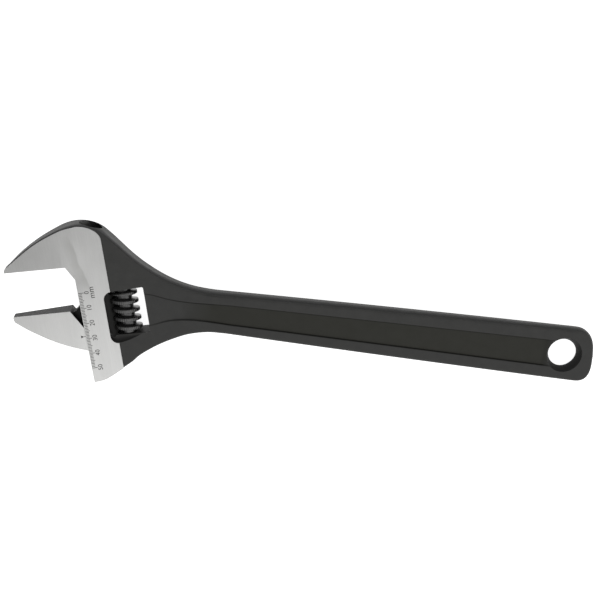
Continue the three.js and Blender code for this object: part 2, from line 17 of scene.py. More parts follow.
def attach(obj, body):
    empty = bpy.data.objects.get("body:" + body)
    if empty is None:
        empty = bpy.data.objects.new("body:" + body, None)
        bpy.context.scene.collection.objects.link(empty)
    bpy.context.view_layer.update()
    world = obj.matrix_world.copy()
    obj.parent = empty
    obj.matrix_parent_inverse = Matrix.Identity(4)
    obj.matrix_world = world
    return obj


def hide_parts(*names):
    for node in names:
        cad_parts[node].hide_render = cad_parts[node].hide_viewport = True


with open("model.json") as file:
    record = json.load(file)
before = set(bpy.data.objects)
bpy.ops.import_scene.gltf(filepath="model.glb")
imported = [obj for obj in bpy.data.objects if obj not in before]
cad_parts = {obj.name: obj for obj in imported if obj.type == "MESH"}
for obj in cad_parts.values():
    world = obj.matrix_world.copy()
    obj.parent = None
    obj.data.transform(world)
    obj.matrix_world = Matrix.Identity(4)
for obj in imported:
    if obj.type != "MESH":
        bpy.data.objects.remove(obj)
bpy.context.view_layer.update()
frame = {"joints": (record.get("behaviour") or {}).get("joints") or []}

MM = 0.001

# ---- sizes shared with the model, in millimetres -----------------------------------------------------

THROAT_TO_END = 339
THROAT_RISE = 20.25
HEAD_T = 18
LAND_RISE = 0.4
CHEEK_W = 19.8
CHEEK_BOTTOM = 77.1
HEAD_TOP = 25.5
JAW_LENGTH = 43
JAW_TIP_T = 8
THROAT_SLOPE = math.radians(60)
FIXED_FLAT_END = 4.9
OPENING = 29

MOVABLE_FLAT_END = 7
MOVABLE_DEPTH = 27
MOVABLE_ROOT_T = 15
CHEEK_GAP = 0.3
WEB_T = 6.4
WEB_RISE = 1.6
SLOT_T = 6.8
SLOT_TOP = 3.2
RAIL_D = 13
BORE_D = 13.4
RAIL_X = 14
RAIL_ABOVE = 18.5
RAIL_BELOW = 36
TOOTH_CLEARANCE = 0.3

WORM_X = 26.4
WORM_Y = -34.5
WORM_D = 17.6
WORM_ROOT_D = 10.6
WORM_LEAD = 5.7
WORM_THREAD_LENGTH = 27.2
WORM_BORE_D = 5.6
WORM_END_CLEARANCE = 0.3
SPRING_POCKET_D = 8.2
SPRING_WIRE = 0.8
SPRING_MEAN_D = 6.7
SPRING_LENGTH = 13
SPRING_TURNS = 6

WINDOW_LEFT = 15.1
WINDOW_RIGHT = 39.9
WINDOW_TOP = -18.9
WINDOW_BOTTOM = -48.9
WINDOW_LEFT_R = 5
WINDOW_RIGHT_R = 1
SCOOP_BOTTOM = -53
SCOOP_RIGHT = 38
SCOOP_DEPTH = 4.1

PIN_D = 5
PIN_THREAD_D = 6
PIN_THREAD_LENGTH = 10
PIN_PITCH = 1
PIN_SLOT_W = 1.1
PIN_SLOT_DEPTH = 1.6
PIN_FIT = 0.1
PIN_LOW = -64.7
PIN_TOP = -10

NECK_X = 98.6
NECK_HALF_W = 13.5
END_HALF_W = 18.2
HANDLE_BOW = 0.35
NECK_T = 12
END_T = 10.6
EDGE_W = 2.4
EDGE_STRETCH = 2
PARTING_FLAT = 0.6
END_LENGTH = 13
END_POWER = 2.8
END_SLANT = 0.13
END_SLANT_RUN = 30
HOLE_D = 18.5
HOLE_FLARE = 2.6
HOLE_FROM_END = 20.4
PANEL_DEPTH = 1.2
PANEL_WALL = 1.1
PANEL_NECK_HALF_W = 6.9
PANEL_END_HALF_W = 9.6
PANEL_FADE = 16

FORGING_T = HEAD_T - 2 * LAND_RISE
JAW_PLATE_T = 0.34
LAND_GAP = 0.01  # between a ground plate and the forging under it

# ---- frames ----------------------------------------------------------------------------------------

joints = {joint["name"]: joint for joint in frame["joints"]}
worm_at = Vector(joints["worm_spin"]["pos_m"]) / MM
opening_way = Vector(joints["worm_spin"]["axis"])
HEAD_ANGLE = math.atan2(opening_way.x, -opening_way.y)

# The head's frame and the handle's, in the row's frame but in millimetres.
HEAD_TURN = Matrix.Rotation(HEAD_ANGLE, 4, "Z")
HEAD = Matrix.Translation(worm_at) @ HEAD_TURN @ Matrix.Translation((-WORM_X, -WORM_Y, 0))
HANDLE = Matrix.Translation(HEAD.translation + Vector((THROAT_TO_END, -THROAT_RISE, 0)))
HEAD_IN_HANDLE = HANDLE.inverted() @ HEAD


# ---- curves and meshes -------------------------------------------------------------------------------

def catmull(points, share):
    """A point of the smooth curve through the given points, at a share from 0 to 1 of the way."""
    rows = np.array(points, float)
    rows = np.vstack([2 * rows[0] - rows[1], rows, 2 * rows[-1] - rows[-2]])
    spans = len(rows) - 3
    place = min(share * spans, spans - 1e-9)
    k = int(place)
    t = place - k
    a, b, c, d = rows[k:k + 4]
    m0, m1 = (c - a) / 2, (d - b) / 2
    start = (2 * t**3 - 3 * t**2 + 1) * b + (t**3 - 2 * t**2 + t) * m0
    return start + (3 * t**2 - 2 * t**3) * c + (t**3 - t**2) * m1


def smooth(points, steps):
    """steps + 1 points of the smooth curve through the given points."""
    return [tuple(catmull(points, k / steps)) for k in range(steps + 1)]


def arc(centre, radius, first, last, steps):
    """Points of an arc in the x-y plane, with its angles in degrees."""
    angles = np.radians(np.linspace(first, last, steps + 1))
    return [(centre[0] + radius * math.cos(a), centre[1] + radius * math.sin(a)) for a in angles]


def ease(value, low, high):
    """0 below low, 1 above high, and smooth between them."""
    t = np.clip((value - low) / (high - low), 0, 1)
    return t * t * (3 - 2 * t)


def mesh_object(name, vertices, faces, matrix=Matrix.Identity(4)):
    """A mesh object with its vertices taken through matrix, still in millimetres."""
    mesh = bpy.data.meshes.new(name)
    mesh.from_pydata([matrix @ Vector(v) for v in vertices], [], faces)
    mesh.validate()
    made = bpy.data.objects.new(name, mesh)
    bpy.context.scene.collection.objects.link(made)
    return made


def outward(made):
    """Turns every face of the mesh to point out."""
    bm = bmesh.new()
    bm.from_mesh(made.data)
    bmesh.ops.recalc_face_normals(bm, faces=bm.faces)
    bm.to_mesh(made.data)
    bm.free()
    return made


def loft(name, rings, matrix=Matrix.Identity(4)):
    """A closed skin through equal rings of points, with flat ends."""
    count = len(rings[0])
    faces = [tuple(range(count)), tuple(reversed(range((len(rings) - 1) * count, len(rings) * count)))]
    for r in range(len(rings) - 1):
        for k in range(count):
            a, b = r * count + k, r * count + (k + 1) % count
            faces.append((a, b, b + count, a + count))
    return outward(mesh_object(name, [p for ring in rings for p in ring], faces, matrix))


def prism(name, outline, low, high, matrix=Matrix.Identity(4)):
    """A prism over an outline in the x-y plane."""
    return loft(name, [[(x, y, z) for x, y in outline] for z in (low, high)], matrix)


def turned(name, profile, x, steps, matrix):
    """A solid turned round the line through x along the head's y. The profile is a list of (y, radius)."""
    turns = np.linspace(0, 2 * math.pi, steps, endpoint=False)
    rings = [[(x + r * math.cos(a), y, r * math.sin(a)) for a in turns] for y, r in profile]
    return loft(name, rings, matrix)


def boolean(made, other, operation):
    """Joins other to made, or cuts it away, and removes other."""
    modifier = made.modifiers.new("cut", "BOOLEAN")
    modifier.operation = operation
    modifier.solver = "EXACT"
    modifier.object = other
    modifier.material_mode = "TRANSFER"
    result = bpy.data.meshes.new_from_object(made.evaluated_get(bpy.context.evaluated_depsgraph_get()))
    made.modifiers.clear()
    made.data = result
    bpy.data.objects.remove(other)
    return made


def finish_mesh(made, body, material, sharp=35):
    """Takes a finished piece to metres, sets its shading and material, and rides it on its body."""
    made.data.transform(Matrix.Scale(MM, 4))
    bm = bmesh.new()
    bm.from_mesh(made.data)
    bmesh.ops.remove_doubles(bm, verts=bm.verts, dist=2e-7)
    bmesh.ops.dissolve_degenerate(bm, edges=bm.edges, dist=1e-7)
    bm.to_mesh(made.data)
    bm.free()
    made.data.polygons.foreach_set("use_smooth", [True] * len(made.data.polygons))
    made.data.set_sharp_from_angle(angle=math.radians(sharp))
    weights = made.modifiers.new("normals", "WEIGHTED_NORMAL")
    weights.keep_sharp = True
    if not any(made.data.materials):
        made.data.materials.clear()
        made.data.materials.append(material)
    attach(made, body)
    return made


# ---- forging -----------------------------------------------------------------------------------------

CROWN = [
    (-JAW_LENGTH, 0.05),
    (-JAW_LENGTH + 0.5, 2.3),
    (-39, 4.9),
    (-32.2, 10.1),
    (-25, 14.7),
    (-18, 18.4),
    (-10, 21.8),
    (-2, HEAD_TOP - 1),
    (5.5, HEAD_TOP),
    (12.7, HEAD_TOP - 1.1),
    (19.5, HEAD_TOP - 4.5),
]
FOOT = [(6.7, -CHEEK_BOTTOM + 0.6), (13.3, -CHEEK_BOTTOM + 3.1), (19.5, -CHEEK_BOTTOM + 5.9)]

# The sweep from the head into the neck: shares of the way along and of the drop at the top and the bottom,
# share of the head's extra thickness, edge radius, extra width of the borders, share of the panel's depth.
SWEEP = [
    (0.081, 0.860, 0.079, 0.838, 0.865, 2.0, 22.1, 18.1, 0.0),
    (0.252, 0.521, 0.153, 0.673, 0.596, 2.0, 15.1, 12.1, 0.2),
    (0.390, 0.304, 0.290, 0.456, 0.346, 2.0, 8.7, 8.5, 0.5),
    (0.539, 0.135, 0.440, 0.275, 0.154, 2.2, 5.0, 6.7, 0.8),
    (0.690, 0.034, 0.617, 0.110, 0.040, EDGE_W, 2.3, 3.5, 1.0),
    (0.842, -0.003, 0.812, 0.016, 0.000, EDGE_W, 0.6, 0.9, 1.0),
    (1.0, 0.0, 1.0, 0.0, 0.0, EDGE_W, 0.0, 0.0, 1.0),
]


def in_handle(x, y):
    point = HEAD_IN_HANDLE @ Vector((x, y, 0))
    return point.x, point.y


def jaw_height(x, root_t, root_x=0):
    """Half the thickness of a jaw that thins from its root to its tip."""
    slope = (root_t - JAW_TIP_T) / 2 / (root_x + JAW_LENGTH)
    return root_t / 2 - slope * np.maximum(root_x - x, 0)


def head_rows():
    """Rows for the stations from the jaw's tip to the neck: top x, y, bottom x, y, half thickness, edge
    radius, border at the top, border at the bottom, panel depth, and the edge's depth over its width."""
    rim = NECK_HALF_W - PANEL_NECK_HALF_W
    rows = []
    for k, (x, y) in enumerate(CROWN):
        foot = (x, -CHEEK_BOTTOM) if x < 0 else FOOT[k - (len(CROWN) - len(FOOT))]
        half = jaw_height(x, HEAD_T) - LAND_RISE
        edge = float(np.interp(x, [-JAW_LENGTH, -2, 20], [0.4, 0.8, 2.0]))
        rows.append((*in_handle(x, y), *in_handle(*foot), half, edge, rim + 24, rim + 24, 0, 4))
    last = rows[-1]
    neck_x = -THROAT_TO_END + NECK_X
    for along_t, drop_t, along_b, drop_b, thick, edge, top, bottom, panel in SWEEP:
        rows.append((
            last[0] + (neck_x - last[0]) * along_t,
            NECK_HALF_W + (last[1] - NECK_HALF_W) * drop_t,
            last[2] + (neck_x - last[2]) * along_b,
            -NECK_HALF_W + (last[3] + NECK_HALF_W) * drop_b,
            (NECK_T + (FORGING_T - NECK_T) * thick) / 2,
            edge, rim + top, rim + bottom, panel * PANEL_DEPTH, EDGE_STRETCH,
        ))
    return rows


def handle_half_width(x):
    t = (x + THROAT_TO_END - NECK_X) / (THROAT_TO_END - NECK_X - END_LENGTH)
    t = np.minimum(t, 1)
    side = NECK_HALF_W + (END_HALF_W - NECK_HALF_W) * (t + HANDLE_BOW * t * (1 - t))
    along = np.clip((x + END_LENGTH) / END_LENGTH, 0, 1)
    return side * (1 - along**END_POWER) ** (1 / END_POWER)


def handle_rows():
    """Rows for the stations from the neck to the rounded end."""
    neck_x = -THROAT_TO_END + NECK_X
    xs = list(np.linspace(neck_x, -END_LENGTH, 60))[1:]
    xs += [-END_LENGTH + (END_LENGTH - 0.01) * math.sin(a) ** (2 / END_POWER)
           for a in np.linspace(0, math.pi / 2, 40)[1:]]
    rows = []
    for x in xs:
        t = min((x - neck_x) / (-END_LENGTH - neck_x), 1)
        half = float(handle_half_width(x))
        rim = max(half - (PANEL_NECK_HALF_W + (PANEL_END_HALF_W - PANEL_NECK_HALF_W) * t), 0.3)
        depth = PANEL_DEPTH * (1 - ease(x, -HOLE_FROM_END - PANEL_FADE, -HOLE_FROM_END))
        lean = END_SLANT * half * float(ease(x, -END_SLANT_RUN, -END_LENGTH / 2))
        half_t = (NECK_T + (END_T - NECK_T) * t) / 2
        rows.append((x - lean, half, x + lean, -half, half_t, EDGE_W, rim, rim, depth, EDGE_STRETCH))
    return rows


END_OUTLINE_X = -END_LENGTH - 6 + (END_LENGTH + 6) * np.sin(np.linspace(0, math.pi / 2, 600)) ** 0.6
END_OUTLINE = np.stack([END_OUTLINE_X, handle_half_width(END_OUTLINE_X)], 1)


def edge_distance(x, y, s, width):
    """Distance from a point to the forging's outline."""
    d = min(s, width - s)
    x = x + END_SLANT * y * float(ease(x, -END_SLANT_RUN, -END_LENGTH / 2))
    if x > -END_LENGTH - 2 * EDGE_W:
        d = min(d, float(np.hypot(END_OUTLINE[:, 0] - x, END_OUTLINE[:, 1] - abs(y)).min()))
    return d


def forging_ring(row):
    """The ring of points round the forging at one station, with round edges and the recessed panel."""
    top, bottom = np.array(row[0:2]), np.array(row[2:4])
    half, edge, rim_top, rim_bottom, depth, stretch = row[4:10]
    width = float(np.hypot(*(top - bottom)))
    edge = min(edge, 0.48 * width)
    deep = min(edge * stretch, half - PARTING_FLAT / 2)
    low = max(min(rim_bottom, 0.38 * width), edge + 0.01)
    high = max(width - min(rim_top, 0.38 * width), low + 0.02)
    wall = min(PANEL_WALL, (high - low) / 4)
    turn = np.linspace(0, math.pi / 2, 8)
    outer = list(edge * (1 - np.cos(turn)))
    inner = list(np.linspace(edge, low, 5)[1:-1])
    step = list(low + wall * np.linspace(0, 1, 8))
    floor = list(np.linspace(low + wall, high - wall, 6)[1:-1])
    s_values = outer + inner + step + floor
    s_values += list(high - wall * np.linspace(1, 0, 8))
    s_values += list(np.linspace(high, width - edge, 5)[1:-1]) + [width - s for s in reversed(outer)]
    along = (top - bottom) / max(width, 1e-9)
    front = []
    for s in s_values:
        x, y = bottom + along * s
        d = min(edge_distance(x, y, s, width), edge)
        z = half - deep * (1 - math.sqrt(max(1 - (1 - d / edge) ** 2, 0)))
        z -= depth * float(ease(s, low, low + wall) * (1 - ease(s, high - wall, high)))
        front.append((x, y, z))
    return front + [(x, y, -z) for x, y, z in reversed(front)]


def window_outline():
    left, right = WINDOW_LEFT + WINDOW_LEFT_R, WINDOW_RIGHT - WINDOW_RIGHT_R
    return (
        arc((right, WINDOW_BOTTOM + WINDOW_RIGHT_R), WINDOW_RIGHT_R, -90, 0, 5)
        + arc((right, WINDOW_TOP - WINDOW_RIGHT_R), WINDOW_RIGHT_R, 0, 90, 5)
        + arc((left, WINDOW_TOP - WINDOW_LEFT_R), WINDOW_LEFT_R, 90, 180, 14)
        + arc((left, WINDOW_BOTTOM + WINDOW_LEFT_R), WINDOW_LEFT_R, 180, 270, 14)
    )


def scoop_edge(x):
    """How far down the thumb scoop reaches at x: round at the cheek, fading out towards the handle."""
    centre = WINDOW_LEFT + WINDOW_LEFT_R
    if x < centre:
        return SCOOP_BOTTOM + WINDOW_LEFT_R - math.sqrt(max(WINDOW_LEFT_R**2 - (x - centre) ** 2, 0))
    share = (x - centre) / (SCOOP_RIGHT - centre)
    return SCOOP_BOTTOM + (WINDOW_BOTTOM - SCOOP_BOTTOM) * share**1.7


def scoop(side):
    """The thumb scoop's cutter, a hollow that falls away from its edge to the window."""
    centre = WINDOW_LEFT + WINDOW_LEFT_R
    face, over = HEAD_T / 2, 3
    xs = [centre - WINDOW_LEFT_R * math.cos(a) for a in np.linspace(0.02, math.pi / 2, 16)]
    xs += list(np.linspace(centre, SCOOP_RIGHT - 0.1, 20))[1:]
    rings = []
    for x in xs:
        edge = min(scoop_edge(x), WINDOW_BOTTOM - 0.05)
        run = WINDOW_BOTTOM - edge
        depth = SCOOP_DEPTH * min(run / (WINDOW_BOTTOM - SCOOP_BOTTOM), 1) ** 0.8
        shares = np.linspace(0, 1, 10)
        hollow = [(edge + run * t, face - depth * math.sin(math.pi / 2 * t) ** 0.9) for t in shares]
        hollow[0] = (edge - 0.001, face)
        ring = [(edge - 0.3, face + over)] + hollow
        ring += [(WINDOW_BOTTOM + 2, face - depth - 0.2), (WINDOW_BOTTOM + 2, face + over)]
        rings.append([(x, y, side * z) for y, z in ring])
    return loft("scoop", rings, HEAD)


def hole_cutter():
    """The hanging hole, narrowest midway and flared to both faces."""
    turns = np.linspace(0, 2 * math.pi, 96, endpoint=False)
    rings = []
    for share in np.linspace(-1.3, 1.3, 27):
        r = HOLE_D / 2 + HOLE_FLARE * abs(share) ** 1.3
        rings.append([(-HOLE_FROM_END + r * math.cos(a), r * math.sin(a), share * END_T / 2) for a in turns])
    return loft("hole", rings, HANDLE)


def throat_drop(flat_end):
    return flat_end * math.tan(THROAT_SLOPE)


def machined(cutter):
    """Gives the faces that this cutter leaves the tone of bored steel."""
    cutter.data.materials.append(bored)
    return cutter


def make_forging():
    rows = head_rows()
    steps = 12
    head = [catmull(rows, k / ((len(rows) - 1) * steps)) for k in range((len(rows) - 1) * steps + 1)]
    forging = loft("forging", [forging_ring(row) for row in head + handle_rows()], HANDLE)
    forging.data.materials.append(black)
    far = 200
    opening = [
        (-far, 0), (-far, -far), (0, -far), (0, -throat_drop(FIXED_FLAT_END)), (-FIXED_FLAT_END, 0),
    ]
    slot_left = -MOVABLE_FLAT_END - 2
    slot = [(slot_left, -far), (RAIL_X, -far), (RAIL_X, SLOT_TOP), (slot_left, SLOT_TOP)]
    wide, narrow = PIN_THREAD_D / 2 + PIN_FIT, PIN_D / 2 + PIN_FIT
    thread_top = PIN_LOW + PIN_THREAD_LENGTH
    pin_hole = [
        (-far, wide), (thread_top + PIN_FIT, wide), (thread_top + 0.6, narrow), (PIN_TOP + PIN_FIT, narrow),
    ]
    for cutter in (
        prism("opening", opening, -HEAD_T, HEAD_T, HEAD),
        machined(turned("bore", [(-far, BORE_D / 2), (far, BORE_D / 2)], RAIL_X, 96, HEAD)),
        prism("slot", slot, -SLOT_T / 2, SLOT_T / 2, HEAD),
        prism("window", window_outline(), -HEAD_T, HEAD_T, HEAD),
        scoop(1),
        scoop(-1),
        turned("pin_hole", pin_hole, WORM_X, 48, HEAD),
        hole_cutter(),
    ):
        boolean(forging, cutter, "DIFFERENCE")
    return forging


# ---- ground faces ------------------------------------------------------------------------------------

def land_outline():
    """The ground face of the head: jaw face, throat and cheek edge, then the foot, the notch at the window
    and the crown."""
    inset = 0.8
    notch_x = WINDOW_LEFT + WINDOW_LEFT_R
    foot = [(0, 0), (6.7, 0.7), (13.3, 3.5), (CHEEK_W, 7.0)]
    foot = [(x, y - CHEEK_BOTTOM) for x, y in foot]
    top = (5.9, HEAD_TOP - inset)
    shoulder = [(CHEEK_W, HEAD_TOP - 11), (CHEEK_W, HEAD_TOP - 5), (12.5, HEAD_TOP - 1.2), top]
    crown = [top] + [(x, y - inset) for x, y in reversed(CROWN[3:8])]
    crown += [(-39, 4.6), (-JAW_LENGTH + 0.5, 2.3)]
    points = [(-JAW_LENGTH, 0), (-FIXED_FLAT_END, 0), (0, -throat_drop(FIXED_FLAT_END))]
    points += smooth(foot, 18)
    points += list(reversed(arc((notch_x, SCOOP_BOTTOM + WINDOW_LEFT_R), WINDOW_LEFT_R, 180, 266.5, 12)))
    points += list(reversed(arc((notch_x, WINDOW_TOP - WINDOW_LEFT_R), WINDOW_LEFT_R, 93.5, 180, 12)))
    points += [bezier(shoulder, t) for t in np.linspace(0, 1, 16)][:-1]
    points += smooth(crown, 48)
    return points


def bezier(corners, t):
    weights = [(1 - t) ** 3, 3 * t * (1 - t) ** 2, 3 * t**2 * (1 - t), t**3]
    return tuple(sum(w * c[k] for w, c in zip(weights, corners)) for k in range(2))


def head_face(x, y):
    """Height of the head's ground face. The jaw's taper plane meets the cheek's in a soft crease that widens
    towards the throat and fades out where the scale begins."""
    down = 1 - ease(y, -10, 24)
    crease = 3.5 + 2.5 * down
    width = 2 + 9 * down
    slope = (HEAD_T - JAW_TIP_T) / 2 / JAW_LENGTH
    fade = ease(y, -20, -4)
    t = np.clip((crease + width / 2 - x) / width, 0, 1)
    rounded = width * t * t / 2 + np.maximum(crease - width / 2 - x, 0)
    share = rounded - crease * ease(-x, -8, 12)
    return HEAD_T / 2 - slope * np.maximum(share, 0) * fade


PLATE_BEVEL = 0.16


def plate(name, outline, height, thickness, grid, side):
    """A thin ground plate: its face follows height(x, y), and its back is flat against the forging.
    grid holds the x and y lines along which the face is divided."""
    bm = bmesh.new()
    verts = [bm.verts.new((x, y, 0)) for x, y in outline]
    bm.faces.new(verts)
    for normal, places in (((1, 0, 0), grid[0]), ((0, 1, 0), grid[1])):
        for place in places:
            bmesh.ops.bisect_plane(
                bm, geom=bm.verts[:] + bm.edges[:] + bm.faces[:], dist=1e-5,
                plane_co=Vector(normal) * place, plane_no=normal,
            )
    grown = bmesh.ops.extrude_face_region(bm, geom=bm.faces[:], use_keep_orig=True)
    raised = {v for v in grown["geom"] if isinstance(v, bmesh.types.BMVert)}
    for v in bm.verts:
        face = float(height(v.co.x, v.co.y))
        v.co.z = side * (face if v in raised else face - thickness)
    top_rim = [e for e in bm.edges if e.verts[0] in raised and e.verts[1] in raised
               and any(f.verts[:] and not all(v in raised for v in f.verts) for f in e.link_faces)]
    bmesh.ops.bevel(
        bm, geom=top_rim, offset=PLATE_BEVEL, segments=2, affect="EDGES", profile=0.5, clamp_overlap=True,
    )
    bmesh.ops.recalc_face_normals(bm, faces=bm.faces)
    mesh = bpy.data.meshes.new(name)
    bm.to_mesh(mesh)
    bm.free()
    mesh.transform(HEAD)
    made = bpy.data.objects.new(name, mesh)
    bpy.context.scene.collection.objects.link(made)
    return made


# ---- movable jaw -------------------------------------------------------------------------------------

JAW = HEAD @ Matrix.Translation((0, -OPENING, 0))


def blade_outline():
    """The movable jaw's side: throat bevel, flat face, rounded tip and bowed back."""
    drop = throat_drop(MOVABLE_FLAT_END - CHEEK_GAP)
    back = [(-41.6, -4.2), (-36.8, -8.1), (-31.6, -11.8), (-22, -17.8), (-12, -22.7)]
    back.append((-CHEEK_GAP, -MOVABLE_DEPTH))
    tip = [(-JAW_LENGTH, -1.2), (-JAW_LENGTH + 0.03, -2.4), (-JAW_LENGTH + 0.4, -3.3), back[0]]
    face = [(-CHEEK_GAP, -drop), (-MOVABLE_FLAT_END, 0), (-JAW_LENGTH, 0)]
    return face + smooth(tip, 8)[:-1] + smooth(back, 30)


def blade_face(x, _):
    """Height of the movable jaw's ground face, which thins towards the tip."""
    slope = (MOVABLE_ROOT_T - JAW_TIP_T) / 2 / (JAW_LENGTH - CHEEK_GAP)
    return MOVABLE_ROOT_T / 2 - slope * (-CHEEK_GAP - x)


def thread_radius(share, grow, widen):
    """Radius of the worm's thread at a share of its lead: flat crests, rounded flanks and roots."""
    height = 0.0
    for offset in (-widen, 0, widen):
        swing = 0.5 + 0.75 * np.cos(2 * math.pi * (share + offset / WORM_LEAD))
        t = np.clip(swing, 0, 1)
        height = np.maximum(height, t * t * t * (t * (6 * t - 15) + 10))
    return WORM_ROOT_D / 2 + (WORM_D - WORM_ROOT_D) / 2 * height + grow


def rail_rings():
    """The rail, with the rack that the worm's thread leaves in it."""
    around = 120
    pitch = 0.25
    low, high = -RAIL_BELOW, RAIL_ABOVE
    turns = np.linspace(0, 2 * math.pi, around, endpoint=False)
    reach = np.linspace(0.5, RAIL_D / 2, 60)
    rings = []
    for y in np.arange(low, high + pitch / 2, pitch):
        chamfer = max(0.0, 0.6 - min(y - low, high - y))
        ring = []
        for a in turns:
            x = RAIL_X + reach * math.cos(a)
            z = reach * math.sin(a)
            gap = np.hypot(x - WORM_X, z)
            turn = np.arctan2(z, x - WORM_X) / (2 * math.pi)
            share = (y - OPENING - WORM_Y) / WORM_LEAD - turn
            inside = gap < thread_radius(share, TOOTH_CLEARANCE, TOOTH_CLEARANCE)
            r = reach[max(int(np.argmax(inside)) - 1, 0)] if inside.any() else RAIL_D / 2
            r = min(r, RAIL_D / 2 - chamfer)
            ring.append((RAIL_X + r * math.cos(a), y, r * math.sin(a)))
        rings.append(ring)
    return rings


def make_jaw():
    """The movable jaw without its ground sides: blade, web and rail."""
    rings = []
    outline = blade_outline()
    for side in (-1, 1):
        rings.append([(x, y, side * (float(blade_face(x, y)) - JAW_PLATE_T - LAND_GAP)) for x, y in outline])
    jaw = loft("jaw_forging", rings, JAW)
    buried = 3
    web = [
        (-MOVABLE_FLAT_END - buried, -1.5), (-MOVABLE_FLAT_END - buried, -MOVABLE_DEPTH + 7),
        (-CHEEK_GAP - buried, -MOVABLE_DEPTH + 2.5), (-CHEEK_GAP, -MOVABLE_DEPTH + 0.05),
        (RAIL_X, -MOVABLE_DEPTH - 3.5), (RAIL_X, WEB_RISE), (-1, WEB_RISE),
    ]
    hollow = [(-1, WEB_RISE), (-2.6, 0.3), (-3.9, -1.0), (-5.4, -1.55), (-MOVABLE_FLAT_END, -1.5)]
    web += smooth(hollow, 12)[1:]
    boolean(jaw, prism("web", web, -WEB_T / 2, WEB_T / 2, JAW), "UNION")
    boolean(jaw, loft("rail", rail_rings(), JAW), "UNION")
    return jaw


# ---- worm, pin and spring ------------------------------------------------------------------------------

def make_worm():
    serrations = 44
    around = serrations * 6
    per_turn = 36
    rise = WORM_LEAD / per_turn
    half = WORM_THREAD_LENGTH / 2
    ys = np.linspace(-half, half, int(2 * half / rise) + 1)
    turns = np.linspace(0, 1, around, endpoint=False)
    cosines, sines = np.cos(2 * math.pi * turns), np.sin(2 * math.pi * turns)
    rings = []
    for y in ys:
        radius = thread_radius(y / WORM_LEAD - turns, 0, 0)
        end = half - abs(y)
        radius = np.minimum(radius, WORM_D / 2 - 1.1 + 1.4 * min(end, 0.8))
        crest = ease(radius, WORM_D / 2 - 0.5, WORM_D / 2)
        radius = radius - 0.16 * crest * (0.5 + 0.5 * np.cos(2 * math.pi * serrations * turns))
        rings.append([(WORM_X + r * c, WORM_Y + y, r * s) for r, c, s in zip(radius, cosines, sines)])
    worm = loft("worm_thread", rings, HEAD)
    low, high = WINDOW_BOTTOM + WORM_END_CLEARANCE, WINDOW_TOP - WORM_END_CLEARANCE
    hub = WORM_ROOT_D / 2 - 0.15
    hub_profile = [(low, hub - 0.4), (low + 0.4, hub), (high - 0.4, hub), (high, hub - 0.4)]
    boolean(worm, turned("hub", hub_profile, WORM_X, 96, HEAD), "UNION")
    pocket = WINDOW_BOTTOM + SPRING_LENGTH + 2 * WORM_END_CLEARANCE
    bore = [
        (low - 1, SPRING_POCKET_D / 2), (pocket, SPRING_POCKET_D / 2),
        (pocket + 0.8, WORM_BORE_D / 2), (high + 1, WORM_BORE_D / 2),
    ]
    return boolean(worm, turned("worm_bore", bore, WORM_X, 48, HEAD), "DIFFERENCE")


def make_pin():
    """The screw pin: plain shank, threaded and slotted lower end."""
    around, per_turn = 36, 12
    rise = PIN_PITCH / per_turn
    depth = 0.42
    rings = []
    turns = np.linspace(0, 1, around, endpoint=False)
    steps = int(PIN_THREAD_LENGTH / rise)
    for k in range(steps + 1):
        y = PIN_LOW + k * rise
        wave = np.abs(((k / per_turn - turns) % 1) * 2 - 1)
        radius = PIN_THREAD_D / 2 - depth * np.clip(1.25 * wave - 0.12, 0, 1)
        end = min(k * rise, (steps - k) * rise)
        radius = np.minimum(radius, PIN_THREAD_D / 2 - 0.5 + end)
        round_pin = zip(radius, 2 * math.pi * turns)
        rings.append([(WORM_X + r * math.cos(a), y, r * math.sin(a)) for r, a in round_pin])
    top = PIN_TOP - PIN_FIT
    shank = ((PIN_LOW + PIN_THREAD_LENGTH + 0.05, PIN_D / 2), (top - 0.5, PIN_D / 2), (top, PIN_D / 2 - 0.5))
    for y, r in shank:
        rings.append([(WORM_X + r * math.cos(a), y, r * math.sin(a)) for a in 2 * math.pi * turns])
    pin = loft("screw_pin", rings, HEAD)
    half = PIN_SLOT_W / 2
    slot = [(WORM_X - 9, PIN_LOW - 1), (WORM_X + 9, PIN_LOW - 1),
            (WORM_X + 9, PIN_LOW + PIN_SLOT_DEPTH), (WORM_X - 9, PIN_LOW + PIN_SLOT_DEPTH)]
    return boolean(pin, prism("driver_slot", slot, -half, half, HEAD), "DIFFERENCE")


def make_spring():
    """The coil spring, its first and last turns closed."""
    low = WINDOW_BOTTOM + SPRING_WIRE / 2 + WORM_END_CLEARANCE / 2
    rise = SPRING_LENGTH - SPRING_WIRE
    steps, around = SPRING_TURNS * 28, 10
    radius = SPRING_MEAN_D / 2
    rings = []
    for k in range(steps + 1):
        t = k / steps
        height = rise * float(0.75 * t + 0.25 * ease(t, 0.1, 0.9))
        a = 2 * math.pi * SPRING_TURNS * t
        out = Vector((math.cos(a), 0, math.sin(a)))
        centre = Vector((WORM_X, low + height, 0)) + radius * out
        ring = []
        for j in range(around):
            b = 2 * math.pi * j / around
            ring.append(centre + SPRING_WIRE / 2 * (math.cos(b) * out + math.sin(b) * Vector((0, 1, 0))))
        rings.append(ring)
    return loft("coil_spring", rings, HEAD)


# ---- engraving ---------------------------------------------------------------------------------------

ENGRAVE_DEPTH = 0.14
TICK_W = 0.36
POINTER_W = 0.35
NUMBER_X = 5.6
NUMBER_SIZE = 4.1
UNIT_X = 8.6
UNIT_SIZE = 5.0
SCALE_ZERO = -17.3
POINTER_DROP = 17.3


def bar_outline(x_low, x_high, y, width):
    return [(x_low, y - width / 2), (x_high, y - width / 2), (x_high, y + width / 2), (x_low, y + width / 2)]


